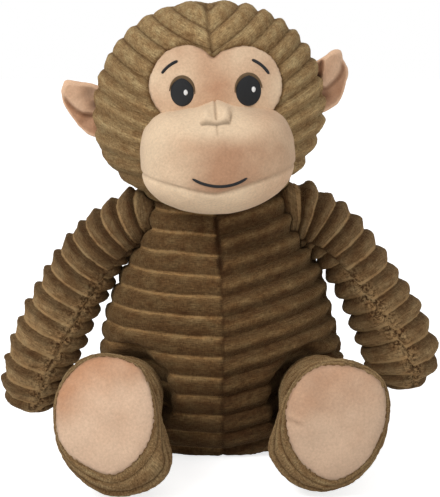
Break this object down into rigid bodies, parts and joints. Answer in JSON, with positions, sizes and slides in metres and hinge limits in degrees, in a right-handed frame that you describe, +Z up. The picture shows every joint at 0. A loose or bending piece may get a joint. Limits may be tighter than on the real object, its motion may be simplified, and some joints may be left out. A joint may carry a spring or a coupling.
{
  "type": "microwavable plush monkey",
  "caption": "Seated plush monkey in ribbed pile with short-pile face, ears and soles, a heatable grain pouch in its body, and a head, arms and legs that turn at sewn joints",
  "frame": {"origin": "middle of the seated toy's box, on the surface that it sits on", "axes": "+Z is up, -Y is the way the toy faces and its feet point, +X is the toy's own left"},
  "size_m": [0.2874, 0.2224, 0.294],
  "materials": {
    "plush_head": "brown wide-rib plush pile",
    "plush_body": "darker brown wide-rib plush pile",
    "plush_arm": "brown wide-rib plush pile",
    "plush_leg": "brown wide-rib plush pile",
    "short_pile": "pinkish tan short-pile plush",
    "thread_dark": "near-black satin-stitch thread",
    "thread_brown": "brown satin-stitch thread",
    "thread_white": "white satin-stitch thread",
    "fibre": "loose white stuffing fibre",
    "cotton": "plain unbleached cotton cloth",
    "grain": "loose whole grain"
  },
  "bodies": {
    "torso": {"belly_panel_left": "plush_body", "belly_panel_right": "plush_body", "back_panel_left": "plush_body", "back_panel_right": "plush_body", "torso_fibre_front": "fibre", "torso_fibre_back": "fibre", "grain_pouch_front": "cotton", "grain_pouch_back": "cotton", "grain_fill": "grain"},
    "head": {"crown_panel_left": "plush_head", "crown_panel_right": "plush_head", "nape_panel": "plush_head", "face_patch": "short_pile", "muzzle_panel": "short_pile", "chin_panel": "short_pile", "head_fibre": "fibre", "eye_left": "thread_dark", "eye_right": "thread_dark", "eye_glint_left": "thread_white", "eye_glint_right": "thread_white", "eyelid_left": "thread_brown", "eyelid_right": "thread_brown", "brow_left": "thread_dark", "brow_right": "thread_dark", "mouth": "thread_dark", "ear_front_left": "short_pile", "ear_front_right": "short_pile", "ear_back_left": "short_pile", "ear_back_right": "short_pile"},
    "arm_left": {"arm_outer_panel_left": "plush_arm", "arm_inner_panel_left": "plush_arm", "arm_fibre_left": "fibre"},
    "arm_right": {"arm_outer_panel_right": "plush_arm", "arm_inner_panel_right": "plush_arm", "arm_fibre_right": "fibre"},
    "leg_left": {"leg_outer_panel_left": "plush_leg", "leg_inner_panel_left": "plush_leg", "sole_left": "short_pile", "leg_fibre_left": "fibre"},
    "leg_right": {"leg_outer_panel_right": "plush_leg", "leg_inner_panel_right": "plush_leg", "sole_right": "short_pile", "leg_fibre_right": "fibre"}
  },
  "joints": [
    {"name": "neck_turn", "type": "hinge", "parent": "torso", "child": "head", "pos_m": [0.00051, 0.05315, 0.17], "axis": [0, 0, 1], "range_deg": [-20, 20], "stiffness_Nm_per_rad": 0.6},
    {"name": "shoulder_left", "type": "hinge", "parent": "torso", "child": "arm_left", "pos_m": [0.0434, 0.05315, 0.149], "axis": [1, 0, 0], "range_deg": [-80, 35], "stiffness_Nm_per_rad": 0.5},
    {"name": "shoulder_right", "type": "hinge", "parent": "torso", "child": "arm_right", "pos_m": [-0.04239, 0.05315, 0.149], "axis": [1, 0, 0], "range_deg": [-80, 35], "stiffness_Nm_per_rad": 0.5},
    {"name": "hip_left", "type": "hinge", "parent": "torso", "child": "leg_left", "pos_m": [0.06451, 0.00715, 0.04], "axis": [1, 0, 0], "range_deg": [-25, 30], "stiffness_Nm_per_rad": 1.2},
    {"name": "hip_right", "type": "hinge", "parent": "torso", "child": "leg_right", "pos_m": [-0.0635, 0.00715, 0.04], "axis": [1, 0, 0], "range_deg": [-25, 30], "stiffness_Nm_per_rad": 1.2}
  ]
}
